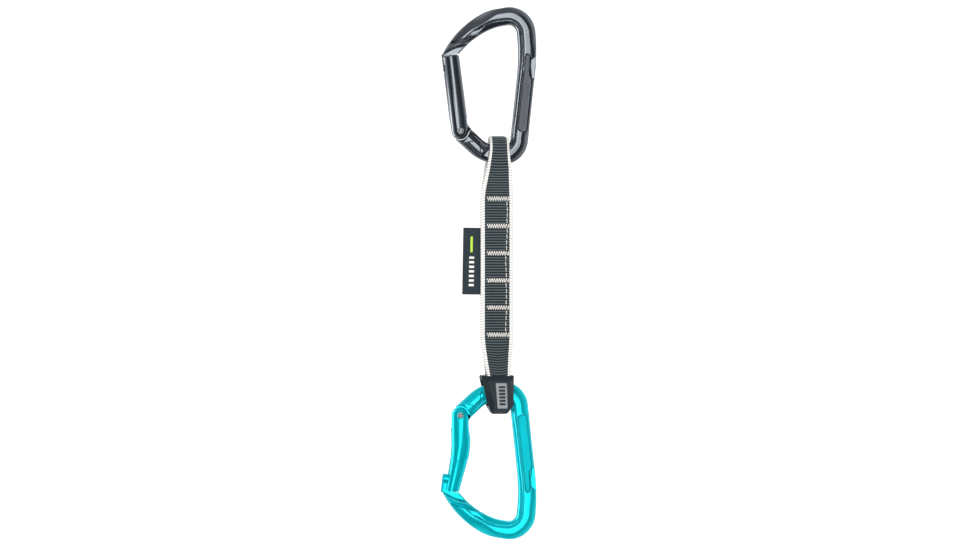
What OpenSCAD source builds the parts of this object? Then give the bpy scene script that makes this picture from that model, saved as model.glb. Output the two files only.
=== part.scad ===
// Climbing quickdraw: a straight-gate and a bent-gate carabiner joined by a sewn webbing sling.
// The carabiners hang in the XZ plane. +X points from the gates to the spines, +Z up the sling,
// and the origin is the highest point inside the upper basket, where the anchor bears.

/* [Carabiner bodies] */
// Height of the crown corner above the sling seat
body_h = 87.8; // [73:0.1:106]
// Distance between the nose end and the spine, on the centre line
body_w = 48.5; // [40:0.1:58.5]
// Distance of the spine from the sling seat, on the centre line
spine_x = 18.5; // [17:0.1:23]
// Width of the bar seen from the front, at the sling seat and along the spine
bar_w = 11; // [8.5:0.1:13.2]
// Depth of the bar at the sling seat, front to back
bar_d = 9.8; // [8:0.1:11.8]
// Depth of the forged spine, front to back
spine_d = 8.6; // [7:0.1:10]
// Width of the rope basket bar seen from the front
crown_w = 11.6; // [9:0.1:13]
// Width of the nose arm at its end
nose_w = 8.4; // [7:0.1:10]

/* [Gates] */
// Diameter of both gates
gate_d = 11; // [9.5:0.1:13.2]
// Distance of the gate rivet from the sling seat, towards the gate
hinge_x = 23.9; // [22:0.1:28]
// Height of the gate rivet above the sling seat
hinge_z = 14.4; // [12:0.1:17]
// Distance of the bend of the bent gate from its rivet
bend_h = 21; // [20:0.1:25]
// Radius of the bend, on the centre line
bend_r = 55; // [30:1:60]
// Diameter of the rivet shanks
rivet_d = 3.2; // [2.6:0.1:3.8]
// Diameter of the rivet heads
rivet_head_d = 3.9; // [3.4:0.1:4.8]
// Thickness of the frame tang between the gate ears
tang_t = 4.2; // [3.4:0.1:5]
// Diameter of the spring bore inside each gate
spring_bore_d = 3.9; // [3.2:0.1:4.6]
// Wire diameter of the gate springs
wire_d = 0.5; // [0.4:0.05:0.6]
// Opening angle of the straight gate
straight_open = 28; // [20:1:30]
// Opening angle of the bent gate
bent_open = 26; // [20:1:28]

/* [Sling] */
// Distance between the two sling seats
sling_len = 146.9; // [122:0.1:260]
// Width of the sewn webbing
web_w = 20.5; // [17:0.1:24]
// Thickness of one ply of webbing
web_t = 2.2; // [1.8:0.05:2.6]
// Width of the folded loops round the bars
loop_w = 12.1; // [10:0.1:12.5]
// Number of bar tacks
tacks = 6; // [6:6]
// Distance between neighbouring bar tacks
tack_pitch = 16.85; // [14:0.05:17]
// Width of a bar tack
tack_w = 14.6; // [12:0.1:16]
// Height of a bar tack
tack_h = 2.8; // [2:0.1:3.4]
// Width of the side label outside the webbing
label_w = 10.9; // [8:0.1:13]
// Height of the side label
label_h = 41.5; // [30:0.1:50]
// Thickness of the folded side label
label_t = 0.8; // [0.6:0.05:1]

/* [Rubber guard] */
// Height of the guard
guard_h = 23.6; // [21:0.1:26]
// Rubber in front of and behind the webbing
guard_wall = 1.8; // [1.5:0.1:2.5]
// Angle that the rubber lets the lower carabiner rock either way
rock = 8; // [4:1:8]

/* [Fits] */
// Radial clearance of the rivets in the tangs and of the plungers in their bores
running = 0.06; // [0.03:0.01:0.09]
// Clearance between faces that move past each other
side_gap = 0.25; // [0.2:0.05:0.4]
// Clearance between the gate ends and the noses
nose_gap = 0.5; // [0.4:0.05:0.7]

/* [Hidden] */
$fn = 48;

graphite = [0.20, 0.21, 0.23];
teal = [0.00, 0.72, 0.78];
steel = [0.78, 0.79, 0.80];
web_colour = [0.15, 0.20, 0.22];
thread_colour = [0.93, 0.92, 0.88];
rubber_colour = [0.30, 0.35, 0.40];
badge_colour = [0.62, 0.65, 0.67];

// ---- Paths with rounded corners --------------------------------------------------------------

// The arc of radius r that rounds the corner at p between the points a and b, as n + 1 points.
function corner(a, p, b, r, n) =
    let (
        u = (a - p) / norm(a - p),
        v = (b - p) / norm(b - p),
        half = acos(u * v) / 2,
        c = p + (u + v) / norm(u + v) * r / sin(half),
        s = p + u * r / tan(half) - c,
        e = p + v * r / tan(half) - c,
        a0 = atan2(s[1], s[0]),
        turn = ((atan2(e[1], e[0]) - a0 + 540) % 360) - 180
    )
    [for (k = [0:n]) c + r * [cos(a0 + turn * k / n), sin(a0 + turn * k / n)]];

function flat(v) = [v[0], v[1]];

// Centre of the arc that rounds the corner p, which is [x, y, radius], between a and b.
function corner_centre(a, p, b) =
    let (
        u = (flat(a) - flat(p)) / norm(flat(a) - flat(p)),
        v = (flat(b) - flat(p)) / norm(flat(b) - flat(p))
    )
    flat(p) + (u + v) / norm(u + v) * p[2] / sin(acos(u * v) / 2);

// An open path through corners [x, y, radius], sharp at both ends.
function open_path(v, n) = [
    flat(v[0]),
    for (i = [1:len(v) - 2]) each corner(flat(v[i - 1]), flat(v[i]), flat(v[i + 1]), v[i][2], n),
    flat(v[len(v) - 1])
];

// A closed outline through corners [x, y, radius].
function closed_path(v, n) = [
    for (i = [0:len(v) - 1])
        each v[i][2] == 0 ? [flat(v[i])] :
            corner(flat(v[(i + len(v) - 1) % len(v)]), flat(v[i]), flat(v[(i + 1) % len(v)]), v[i][2], n)
];

// The path with no stretch longer than step.
function fine(p, step) = [
    for (i = [0:len(p) - 2])
        let (n = max(1, ceil(norm(p[i + 1] - p[i]) / step)))
        for (k = [0:n - 1]) p[i] + (p[i + 1] - p[i]) * k / n,
    p[len(p) - 1]
];

// Distance of each point along the path.
function run_of(p) = [
    for (i = 0, s = 0; i < len(p); s = s + (i < len(p) - 1 ? norm(p[i + 1] - p[i]) : 0), i = i + 1) s
];

function tangent(p, i) =
    let (d = p[min(i + 1, len(p) - 1)] - p[max(i - 1, 0)]) d / norm(d);

// Faces of a tube of rings with m points each, closed by a cap at both ends.
function tube_faces(rings, m) = [
    [for (j = [0:m - 1]) j],
    for (i = [0:rings - 2])
        for (j = [0:m - 1])
            [i * m + j, (i + 1) * m + j, (i + 1) * m + (j + 1) % m, i * m + (j + 1) % m],
    [for (j = [m - 1:-1:0]) (rings - 1) * m + j]
];

// ---- Carabiner geometry, in its own frame: origin at the sling seat, X to the spine, Z to the rope

nose_tip = [spine_x - body_w, body_h - 26.3];
hinge = [-hinge_x, hinge_z];
// Corners of the centre line: [x, z, radius]
seat_left = [-8.1, -0.1, 23.7];
seat_right = [11.9, -1.2, 10.4];
spine_mid = [spine_x, body_h - 26.2, 120];
crown = [spine_x - 2.1, body_h, 10.7];
crown_left = [spine_x - 0.513 * body_w, body_h - 4.2, 0.68 * body_w];
nose_bend = [spine_x - 0.857 * body_w, body_h - 15.3, 1.02 * body_w];
arm_dir = (flat(seat_left) - hinge) / norm(flat(seat_left) - hinge);
nose_dir = (nose_tip - flat(nose_bend)) / norm(nose_tip - flat(nose_bend));
// The bar starts just past the rivet and runs beyond the nose face, where it is trimmed flat
bar_start = hinge + 1.5 * arm_dir;
bar_end = nose_tip + 5 * nose_dir;
bar_corners = [
    [bar_start[0], bar_start[1], 0], seat_left, seat_right, spine_mid, crown, crown_left, nose_bend,
    [bar_end[0], bar_end[1], 0]
];
bar_path = fine(open_path(bar_corners, 7), 5);
bar_run = run_of(bar_path);
bar_length = bar_run[len(bar_run) - 1];
// [share of the path, width, depth]
bar_sizes = [
    [0.00, bar_w + 0.2, bar_d + 0.4],
    [0.20, bar_w, bar_d],
    [0.45, bar_w, spine_d],
    [0.62, crown_w, bar_d + 0.8],
    [0.80, crown_w - 0.2, bar_d + 0.4],
    [1.00, nose_w, bar_d - 0.8]
];
function bar_width(share) = lookup(share, [for (s = bar_sizes) [s[0], s[1]]]);
function bar_depth(share) = lookup(share, [for (s = bar_sizes) [s[0], s[2]]]);

// Twelve points of a rounded-square cross-section of unit half width
section_power = 0.78;
function bulge(v) = sign(v) * pow(abs(v), section_power);
section = [for (k = [0:11]) [bulge(cos(30 * k + 15)), bulge(sin(30 * k + 15))]];

// Straight line from the rivet to the nose end; both noses face along it
nose_vec = nose_tip - hinge;
nose_tilt = atan2(-nose_vec[0], nose_vec[1]);
nose_z = norm(nose_vec);
gate_end = nose_z - nose_gap;
ear_r = gate_d / 2;
cheek_r = ear_r + 0.4;

// Tang cam that pushes the plunger up its bore as the gate opens
boss_r = 4.8;
cam_w = 4.6;
plunger_tip = boss_r + 0.12;
slot_floor = 7.6;
bore_top = 19;
plunger_top = 10.9;
plunger_d = spring_bore_d - 2 * running;

// Keylock head on each nose, a neck and a round head that drop into a slot of the gate
key_neck = 3.4;
key_head_d = 6;
key_drop = 7.5;
key_out = ear_r + 0.3;
key_in = 0.5;

// The bent gate runs straight up from its rivet to the bend, then straight to the nose
bend_point = hinge + [0, bend_h];
upper_vec = nose_tip - bend_point;
upper_tilt = atan2(-upper_vec[0], upper_vec[1]);
bend_trim = bend_r * tan(upper_tilt / 2);

// ---- Sling geometry, in the frame of the upper sling seat --------------------------------------

// The loop's inner face stays above the curved bar where its edges would touch first
seat_centre = corner_centre(seat_left, seat_right, spine_mid);
seat_inner = seat_right[2] - bar_w / 2;
loop_slack = 3.3;
loop_inner = seat_centre[1] - sqrt(pow(seat_inner, 2) - pow(loop_w / 2 - seat_centre[0], 2)) + loop_slack;
// Lowest point of the bar below the seat, and a loop wide enough to swing round it
seat_low = bar_w / 2 - seat_right[1];
loop_r = seat_low + 0.7;
guard_loop_r = bar_d / 2 + 0.9;
shoulder = 8;
throat = 24;
web_shift = -0.95;
tack_first = -27.3;
tack_x = -0.8;
thread_proud = 0.45;
tack_span = 2 * (web_t + thread_proud);
stitch_w = 0.6;
stitch_x = 5.1;
label_top = -45.3;
label_tuck = 5;
label_left = web_shift - web_w / 2 - label_w;
label_right = web_shift - web_w / 2 + label_tuck;

// Rubber guard, in the frame of the lower sling seat, Z up
guard_top = 10.2;
guard_low = guard_top - guard_h;
guard_depth = guard_loop_r + web_t + guard_wall;
guard_corners = [
    [-10.9, guard_top], [8.9, guard_top], [8.7, guard_low + 5.3], [5.9, guard_low + 1],
    [4, guard_low], [-3.4, guard_low], [-7.1, guard_low + 5.3], [-11.2, guard_top - 1.5]
];
guard_bevel = 1.7;
guard_centre = [-0.6, -1.5];
web_fit = 0.05;
badge_t = 1;
badge_sink = 0.6;
badge_corners = [[-2.7, 5.7], [4.2, 5.7], [4.7, -9.9], [-1.55, -9.9]];

// The origin is the highest point inside the basket
seat_apex = corner_centre(spine_mid, crown, crown_left) + [0, crown[2] - crown_w / 2];

// ---- Placing ------------------------------------------------------------------------------------

// Moves a shape from the frame of the upper sling seat to the part's frame.
module placed() {
    translate([-seat_apex[0], 0, -seat_apex[1]]) children();
}

// The same for the lower carabiner, which hangs upside down.
module placed_low() {
    placed() translate([0, 0, -sling_len]) rotate([180, 0, 0]) children();
}

// Puts a shape at the rivet with Z along the gate, which leans by tilt towards the nose side.
module at_hinge(tilt) {
    translate([hinge[0], 0, hinge[1]]) rotate([0, -tilt, 0]) children();
}

// A cylinder along Y, centred.
module cross_pin(d, length) {
    rotate([90, 0, 0]) cylinder(d = d, h = length, center = true);
}

// A front-view outline extruded along Y, from y0 to y1.
module slab(y0, y1) {
    translate([0, y1, 0]) rotate([90, 0, 0]) linear_extrude(y1 - y0) children();
}

// A side-view outline (Y, Z) extruded along X, from x0 to x1.
module side_slab(x0, x1) {
    translate([x0, 0, 0]) rotate([90, 0, 90]) linear_extrude(x1 - x0) children();
}

// ---- Carabiner frames -----------------------------------------------------------------------------

module bar_sweep() {
    points = [
        for (i = [0:len(bar_path) - 1])
            let (
                share = bar_run[i] / bar_length,
                t = tangent(bar_path, i),
                w = bar_width(share) / 2,
                d = bar_depth(share) / 2
            )
            for (q = section)
                [bar_path[i][0] + t[1] * w * q[0], d * q[1], bar_path[i][1] - t[0] * w * q[0]]
    ];
    polyhedron(points, tube_faces(len(bar_path), len(section)), convexity = 6);
}

// Front-view outline of the room that the gate ears sweep: the round end and both end positions.
module gate_sweep_outline(tilt, open) {
    translate(hinge) circle(r = cheek_r);
    for (a = [tilt, tilt - open])
        translate(hinge) rotate(a) translate([-cheek_r, 0]) square([2 * cheek_r, 15]);
}

// Outline of the keylock head seen along the gate slot, grown by a clearance and longer by low_gap.
module key_outline(gap, low_gap) {
    translate([-key_neck / 2 - gap, -key_drop]) square([key_neck + 2 * gap, key_drop + 3]);
    for (drop = [0, low_gap]) translate([0, -key_drop - drop]) circle(d = key_head_d + 2 * gap);
}

// The keylock head at the nose, from the outside of the gate to just past its centre.
module nose_key(gap, low_gap, out, inner) {
    at_hinge(nose_tilt) translate([0, 0, nose_z]) side_slab(-out, inner) key_outline(gap, low_gap);
}

// The body of one carabiner: swept bar, tang between the gate ears, flat nose and keylock head.
module frame_body(gate_lean, open) {
    side = 20;
    cam_t = tang_t + 2;
    difference() {
        union() {
            difference() {
                union() {
                    bar_sweep();
                    at_hinge(gate_lean) cross_pin(2 * boss_r, cam_t);
                    at_hinge(gate_lean) slab(-cam_t / 2, cam_t / 2)
                        polygon([[0, 0], [0, boss_r], [cam_w, boss_r], [7, 0.5], [4, -2]]);
                }
                for (y = [[tang_t / 2, side], [-side, -tang_t / 2]])
                    slab(y[0], y[1]) gate_sweep_outline(gate_lean, open);
                at_hinge(nose_tilt)
                    translate([-14, -side, nose_z - 16]) cube([22, 2 * side, 16]);
            }
            nose_key(0, 0, key_out, key_in);
        }
        at_hinge(gate_lean) cross_pin(rivet_d + 2 * running, 2 * side);
    }
}

// ---- Gates ------------------------------------------------------------------------------------------

gate_chamfer = 0.8;

// Half section of a round bar with a domed lower end at the rivet and a chamfered upper end.
module gate_half(length, chamfer) {
    intersection() {
        union() {
            circle(r = ear_r);
            polygon([[0, 0], [ear_r, 0], [ear_r, length - chamfer], [ear_r - chamfer, length], [0, length]]);
        }
        translate([0, -ear_r - 1]) square([2 * ear_r, length + ear_r + 2]);
    }
}

// Everything that is cut from a gate: the tang slot, the spring bore, the rivet seat, the key slot.
module gate_cuts(lean) {
    at_hinge(lean) {
        translate([-gate_d, -tang_t / 2 - side_gap, -gate_d])
            cube([2 * gate_d, tang_t + 2 * side_gap, gate_d + slot_floor]);
        cylinder(d = spring_bore_d, h = bore_top);
        cross_pin(rivet_d, 3 * gate_d);
        for (s = [-1, 1]) translate([0, s * (ear_r - 0.5 + gate_d / 2), 0])
            cross_pin(rivet_head_d + 0.1, gate_d);
    }
    nose_key(side_gap + 0.05, nose_gap, 2 * gate_d, key_in + 0.5);
}

module straight_gate() {
    difference() {
        at_hinge(nose_tilt) rotate_extrude() gate_half(gate_end, gate_chamfer);
        gate_cuts(nose_tilt);
    }
}

module bent_gate() {
    upper = norm(upper_vec) - bend_trim;
    difference() {
        union() {
            at_hinge(0) rotate_extrude() gate_half(bend_h - bend_trim, 0);
            at_hinge(0) translate([-bend_r, 0, bend_h - bend_trim]) rotate([90, 0, 0])
                rotate_extrude(angle = upper_tilt, $fn = 120) translate([bend_r, 0]) circle(r = ear_r);
            translate([bend_point[0], 0, bend_point[1]]) rotate([0, -upper_tilt, 0])
                translate([0, 0, bend_trim - 1]) cylinder(r = ear_r - 0.01, h = upper + 1);
        }
        at_hinge(nose_tilt) translate([-gate_d, -gate_d, gate_end]) cube(2 * gate_d);
        gate_cuts(0);
    }
}

module gate_rivet(lean) {
    at_hinge(lean) {
        cross_pin(rivet_d, 2 * ear_r);
        for (s = [-1, 1]) translate([0, s * (ear_r - 0.5 + 0.35), 0]) cross_pin(rivet_head_d, 0.7);
    }
}

module gate_plunger(lean) {
    at_hinge(lean) {
        translate([0, 0, plunger_tip + 0.5]) cylinder(d = plunger_d, h = plunger_top - plunger_tip - 0.5);
        translate([0, 0, plunger_tip]) cylinder(d1 = plunger_d - 1, d2 = plunger_d, h = 0.5);
    }
}

// Compression spring between the plunger and the end of the bore, as one swept wire.
module gate_spring(lean) {
    turns = 6;
    per_turn = 14;
    sides = 6;
    coil_r = (spring_bore_d - wire_d) / 2 - 0.15;
    z0 = plunger_top + wire_d / 2 + 0.05;
    rise = bore_top - wire_d / 2 - 0.05 - z0;
    steps = turns * per_turn;
    points = [
        for (i = [0:steps])
            let (a = 360 * i / per_turn, out = [cos(a), sin(a), 0], z = z0 + rise * i / steps)
            for (j = [0:sides - 1])
                let (b = 360 * j / sides)
                out * (coil_r + wire_d / 2 * cos(b)) + [0, 0, z + wire_d / 2 * sin(b)]
    ];
    at_hinge(lean) polyhedron(points, tube_faces(steps + 1, sides), convexity = 8);
}

// ---- Sling --------------------------------------------------------------------------------------------

// Side-view outline of the sling's outer face, grown by a clearance.
function sling_outer(grow) =
    let (
        t = web_t + grow,
        up = loop_r + t,
        low = guard_loop_r + t,
        half = [
            [up, loop_inner + t, up - 0.01],
            [up, -shoulder, 12],
            [t, -throat, 20],
            [t, throat - sling_len, 20],
            [low, shoulder - sling_len, 12],
            [low, -sling_len - loop_inner - t, low - 0.01]
        ]
    )
    closed_path([for (p = half) p, for (i = [len(half) - 1:-1:0]) [-half[i][0], half[i][1], half[i][2]]], 10);

// Side-view outline of the hollow of one loop, with half width r, point upwards or downwards.
module loop_hollow(r, s) {
    half = [[r, s * loop_inner, r - 0.01], [r, -s * shoulder, 10]];
    polygon(closed_path([
        for (p = half) p,
        [0, -s * throat, 0],
        for (i = [1, 0]) [-half[i][0], half[i][1], half[i][2]]
    ], 10));
}

// Front-view outline of the sling: full width where it is sewn, folded narrower at both loops.
module sling_front(grow) {
    right = web_shift + web_w / 2 + grow;
    left = web_shift - web_w / 2 - grow;
    loop = loop_w / 2 + grow;
    reach = loop_inner + web_t + 5;
    polygon([
        [loop, reach], [loop, 2], [right, -25], [right, 32 - sling_len], [loop + 0.8, 10 - sling_len],
        [loop, -sling_len], [loop, -sling_len - reach], [-loop, -sling_len - reach],
        [-loop, -sling_len], [-loop - 1.6, 10 - sling_len], [left, 32 - sling_len], [left, -25],
        [-loop, 2], [-loop, reach]
    ]);
}

// The sling as a closed solid with its loops filled.
module sling_envelope(grow) {
    intersection() {
        side_slab(-web_w, web_w) polygon(sling_outer(grow));
        slab(-2 * loop_r, 2 * loop_r) sling_front(grow);
    }
}

function tack_z(i) = tack_first - tack_pitch * (i - 1);

module tack_block(i) {
    translate([tack_x - tack_w / 2, -tack_span / 2, tack_z(i) - tack_h / 2])
        cube([tack_w, tack_span, tack_h]);
}

module label_block() {
    translate([label_left, -label_t / 2, label_top - label_h])
        cube([label_right - label_left, label_t, label_h]);
}

// ---- Nodes ----------------------------------------------------------------------------------------------

module top_frame() {
    color(graphite) placed() frame_body(nose_tilt, straight_open);
}

module top_gate() {
    color(graphite) placed() straight_gate();
}

module top_rivet() {
    color(steel) placed() gate_rivet(nose_tilt);
}

module top_spring() {
    color(steel) placed() gate_spring(nose_tilt);
}

module top_plunger() {
    color(steel) placed() gate_plunger(nose_tilt);
}

module bottom_frame() {
    color(teal) placed_low() frame_body(0, bent_open);
}

module bottom_gate() {
    color(teal) placed_low() bent_gate();
}

module bottom_rivet() {
    color(steel) placed_low() gate_rivet(0);
}

module bottom_spring() {
    color(steel) placed_low() gate_spring(0);
}

module bottom_plunger() {
    color(steel) placed_low() gate_plunger(0);
}

module webbing_loop() {
    color(web_colour) placed() difference() {
        sling_envelope(0);
        side_slab(-web_w, web_w) loop_hollow(loop_r, 1);
        translate([0, 0, -sling_len]) side_slab(-web_w, web_w) loop_hollow(guard_loop_r, -1);
        for (i = [1:tacks]) tack_block(i);
        label_block();
    }
}

module bar_tack(i) {
    color(thread_colour) placed() tack_block(i);
}

// Running stitches that carry the thread from one bar tack to the next.
module travel_stitch() {
    color(thread_colour) placed()
        for (i = [1:tacks - 1])
            translate([stitch_x - stitch_w / 2, -web_t - 0.3, tack_z(i + 1) + tack_h / 2])
                cube([stitch_w, 0.3, tack_pitch - tack_h]);
}

module side_label() {
    color(web_colour) placed() difference() {
        label_block();
        for (i = [1:tacks]) tack_block(i);
    }
}

module string_guard() {
    mid = guard_depth - guard_bevel * 1.6;
    wedge = guard_loop_r + 0.1;
    passage = loop_w / 2 - 0.5;
    open_top = seat_low + 0.6;
    open_low = guard_low - 2;
    spread = tan(rock + 1);
    color(rubber_colour) placed() difference() {
        translate([0, 0, -sling_len]) hull() {
            slab(-mid, mid) polygon(guard_corners);
            slab(-guard_depth, guard_depth)
                polygon([for (p = guard_corners)
                    let (v = p - guard_centre) guard_centre + v * (1 - guard_bevel / norm(v))]);
        }
        sling_envelope(web_fit);
        // Room for the carabiner's arms either side of the loop, wider where they rock
        for (x = [[-25, -passage], [passage, 25]])
            translate([0, 0, -sling_len]) side_slab(x[0], x[1])
                polygon([
                    [wedge, 0], [wedge + open_top * spread, open_top],
                    [-wedge - open_top * spread, open_top], [-wedge, 0],
                    [-wedge + open_low * spread, open_low], [wedge - open_low * spread, open_low]
                ]);
        translate([0, 0, -sling_len]) slab(-guard_depth - 5, -guard_depth + badge_sink)
            polygon(badge_corners);
    }
}

module guard_badge() {
    color(badge_colour) placed() translate([0, 0, -sling_len])
        slab(-guard_depth - badge_t + badge_sink, -guard_depth + badge_sink) polygon(badge_corners);
}

top_frame();
top_gate();
top_rivet();
top_spring();
top_plunger();
bottom_frame();
bottom_gate();
bottom_rivet();
bottom_spring();
bottom_plunger();
webbing_loop();
for (i = [1:tacks]) bar_tack(i);
travel_stitch();
side_label();
string_guard();
guard_badge();
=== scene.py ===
"""Finished surfaces of a climbing quickdraw, built round its fixed frame."""
from math import atan2, cos, pi, radians, sin

import bmesh
import bpy
import numpy as np
from bpy.props import FloatProperty, FloatVectorProperty, IntProperty, PointerProperty
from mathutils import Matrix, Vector


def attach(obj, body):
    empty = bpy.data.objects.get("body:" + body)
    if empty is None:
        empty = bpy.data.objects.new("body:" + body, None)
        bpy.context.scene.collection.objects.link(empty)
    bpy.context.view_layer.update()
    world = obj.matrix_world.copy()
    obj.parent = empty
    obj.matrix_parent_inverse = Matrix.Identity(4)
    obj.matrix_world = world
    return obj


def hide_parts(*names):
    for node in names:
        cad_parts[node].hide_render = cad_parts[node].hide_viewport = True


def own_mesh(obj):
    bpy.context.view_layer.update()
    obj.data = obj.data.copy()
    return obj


bl_info = {
    "name": "Climbing quickdraw",
    "version": (1, 0, 0),
    "blender": (4, 5, 0),
    "location": "3D View > Sidebar > Quickdraw",
    "description": "Builds the finished surfaces of a climbing quickdraw round its fixed frame",
    "category": "Add Mesh",
}

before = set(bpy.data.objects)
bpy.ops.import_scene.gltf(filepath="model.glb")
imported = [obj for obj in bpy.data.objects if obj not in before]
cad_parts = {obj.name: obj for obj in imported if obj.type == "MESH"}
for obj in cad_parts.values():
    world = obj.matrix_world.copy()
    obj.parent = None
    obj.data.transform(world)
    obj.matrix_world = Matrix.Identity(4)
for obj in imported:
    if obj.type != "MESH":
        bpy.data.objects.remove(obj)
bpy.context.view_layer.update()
MM = 0.001

# ---- Sizes shared with the frame, in millimetres, origin at the sling's seat ------------------
BODY_H, BODY_W, SPINE_X = 87.8, 48.5, 18.5
HINGE = np.array([-23.9, 14.4])
SEAT_LEFT = (-8.1, -0.1, 23.7)
SEAT_RIGHT = (11.9, -1.2, 10.4)
SPINE_MID = (SPINE_X, BODY_H - 26.2, 120.0)
CROWN = (SPINE_X - 2.1, BODY_H, 10.7)
CROWN_LEFT = (SPINE_X - 0.513 * BODY_W, BODY_H - 4.2, 0.68 * BODY_W)
NOSE_BEND = (SPINE_X - 0.857 * BODY_W, BODY_H - 15.3, 1.02 * BODY_W)
NOSE_TIP = np.array([SPINE_X - BODY_W, BODY_H - 26.3])
NOSE_AXIS = (NOSE_TIP - HINGE) / np.linalg.norm(NOSE_TIP - HINGE)
STATIONS = (0.0, 0.2, 0.45, 0.62, 0.8, 1.0)
BAR_WIDTHS = (11.2, 11.0, 11.0, 11.6, 11.4, 8.4)
BAR_DEPTHS = (10.2, 9.8, 8.6, 10.6, 10.2, 9.0)
SLING_LEN, WEB_T, WEB_W, WEB_SHIFT = 146.9, 2.2, 20.5, -0.95
LOOP_W, LOOP_R, GUARD_LOOP_R = 12.1, 7.4, 5.8
LOOP_INNER, SHOULDER, THROAT = 9.557, 8.0, 24.0
TACKS, TACK_FIRST, TACK_PITCH, TACK_X = 6, -27.3, 16.85, -0.8
TACK_W, TACK_H = 14.6, 2.8
LABEL_TOP, LABEL_H = -45.3, 41.5
GUARD_DEPTH = 9.8
TANG_HALF, CHEEK_R, BOSS_R = 2.1, 5.9, 4.8
SPRING_FOOT, SPRING_TOP, SPRING_R, WIRE_R, SPRING_TURNS = 11.2, 18.7, 1.5, 0.25, 8
PLY_GAP = 0.9       # between the plies of the webbing
FACE_COLS, BACK_COLS, EDGE_COLS = 34, 14, 5    # columns round the webbing's section


# ---- Paths ------------------------------------------------------------------------------------
def corner_parts(a, p, b, r):
    """Centre of the arc of radius r that touches both sides of corner p, and its two ends."""
    u, v = (a - p) / np.linalg.norm(a - p), (b - p) / np.linalg.norm(b - p)
    half = np.arccos(np.clip(u @ v, -1, 1)) / 2
    reach = r / np.tan(half)
    return p + (u + v) / np.linalg.norm(u + v) * r / sin(half), p + u * reach, p + v * reach


def rounded(corners, closed=False, n=24):
    """Polyline through corners (x, y, radius), each corner turned into the arc of its radius."""
    c = np.array(corners, float)
    k = len(c)
    out = []
    for i in range(k):
        if c[i, 2] == 0 or (not closed and i in (0, k - 1)):
            out.append(c[i:i + 1, :2])
            continue
        centre, s, e = corner_parts(c[i - 1, :2], c[i, :2], c[(i + 1) % k, :2], c[i, 2])
        a0, a1 = atan2(*(s - centre)[::-1]), atan2(*(e - centre)[::-1])
        turn = (a1 - a0 + 3 * pi) % (2 * pi) - pi
        a = a0 + turn * np.linspace(0, 1, n)
        out.append(centre + c[i, 2] * np.stack([np.cos(a), np.sin(a)], 1))
    return np.concatenate(out)


def even(path, step, closed=False):
    """Points at equal steps of length along a polyline, with their unit tangents and lengths."""
    p = np.vstack([path, path[:1]]) if closed else path
    keep = np.r_[True, np.linalg.norm(np.diff(p, axis=0), axis=1) > 1e-7]
    p = p[keep]
    run = np.r_[0, np.cumsum(np.linalg.norm(np.diff(p, axis=0), axis=1))]
    s = np.linspace(0, run[-1], int(run[-1] / step) + 1)
    s = s[:-1] if closed else s
    period = run[-1] if closed else None
    at = lambda q: np.stack([np.interp(q, run, p[:, i], period=period) for i in (0, 1)], 1)
    d = 0.6
    ahead, behind = (s + d, s - d) if closed else (np.minimum(s + d, run[-1]), np.maximum(s - d, 0))
    t = at(ahead) - at(behind)
    return at(s), t / np.linalg.norm(t, axis=1)[:, None], s, run[-1]


_apex = corner_parts(*(np.array(q[:2]) for q in (SPINE_MID, CROWN, CROWN_LEFT)), CROWN[2])[0]
APEX = _apex + np.array([0, CROWN[2] - 11.6 / 2])


PIVOT = np.array([HINGE[0], 0, HINGE[1]])


def upper(p):
    """Seat frame to object frame at the upper carabiner."""
    return p - np.array([APEX[0], 0, APEX[1]])


def lower(p):
    """Seat frame to object frame at the lower carabiner, which hangs turned half round X."""
    return upper(p * np.array([1, -1, -1]) - np.array([0, 0, SLING_LEN]))


def ramp(x, lo, hi):
    """Smooth step from 0 at lo to 1 at hi."""
    t = np.clip((x - lo) / (hi - lo), 0, 1)
    return t * t * (3 - 2 * t)


# ---- Meshes -----------------------------------------------------------------------------------
def sheet_of(points, wrap_rows=False, wrap_cols=True, caps=True, uv=None):
    """Quads over a grid of points (rows, columns, 3), joined round where it wraps, with flat end caps."""
    rows, cols = points.shape[:2]
    i, j = np.meshgrid(np.arange(rows - (not wrap_rows)), np.arange(cols - (not wrap_cols)), indexing="ij")
    i1, j1 = (i + 1) % rows, (j + 1) % cols
    quads = np.stack([i * cols + j, i1 * cols + j, i1 * cols + j1, i * cols + j1], -1).reshape(-1, 4)
    if uv is None:
        uv = np.zeros((rows + wrap_rows, cols + wrap_cols, 2))
    loops = np.stack([uv[i, j], uv[i + 1, j], uv[i + 1, j + 1], uv[i, j + 1]], -2).reshape(-1, 2)
    faces = quads.tolist()
    if caps and wrap_cols and not wrap_rows:
        first, last = np.arange(cols), np.arange(cols)[::-1] + (rows - 1) * cols
        faces += [first.tolist(), last.tolist()]
        loops = np.vstack([loops, uv[0, :cols], uv[rows - 1, :cols][::-1]])
    return points.reshape(-1, 3), faces, loops


def outward(shape):
    """Turns every face of a closed shape over if its signed volume is negative."""
    v, faces, uv = shape
    quads = np.array([f[:4] if len(f) > 3 else f + f[-1:] for f in faces if len(f) <= 4])
    a, b, c, d = (v[quads[:, k]] for k in range(4))
    volume = (np.cross(a, b) * c).sum() + (np.cross(a, c) * d).sum()
    for f in (f for f in faces if len(f) > 4):
        q = v[f]
        volume += (np.cross(q[0], q[1:-1]) * q[2:]).sum()
    if volume >= 0:
        return shape
    sizes = np.cumsum([len(f) for f in faces])[:-1]
    return v, [f[::-1] for f in faces], np.concatenate([u[::-1] for u in np.split(uv, sizes)])


def placed(shape, place):
    """A shape carried over by a function of its points, with its faces outward again."""
    v, faces, uv = shape
    return outward((place(v), faces, uv))


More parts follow.
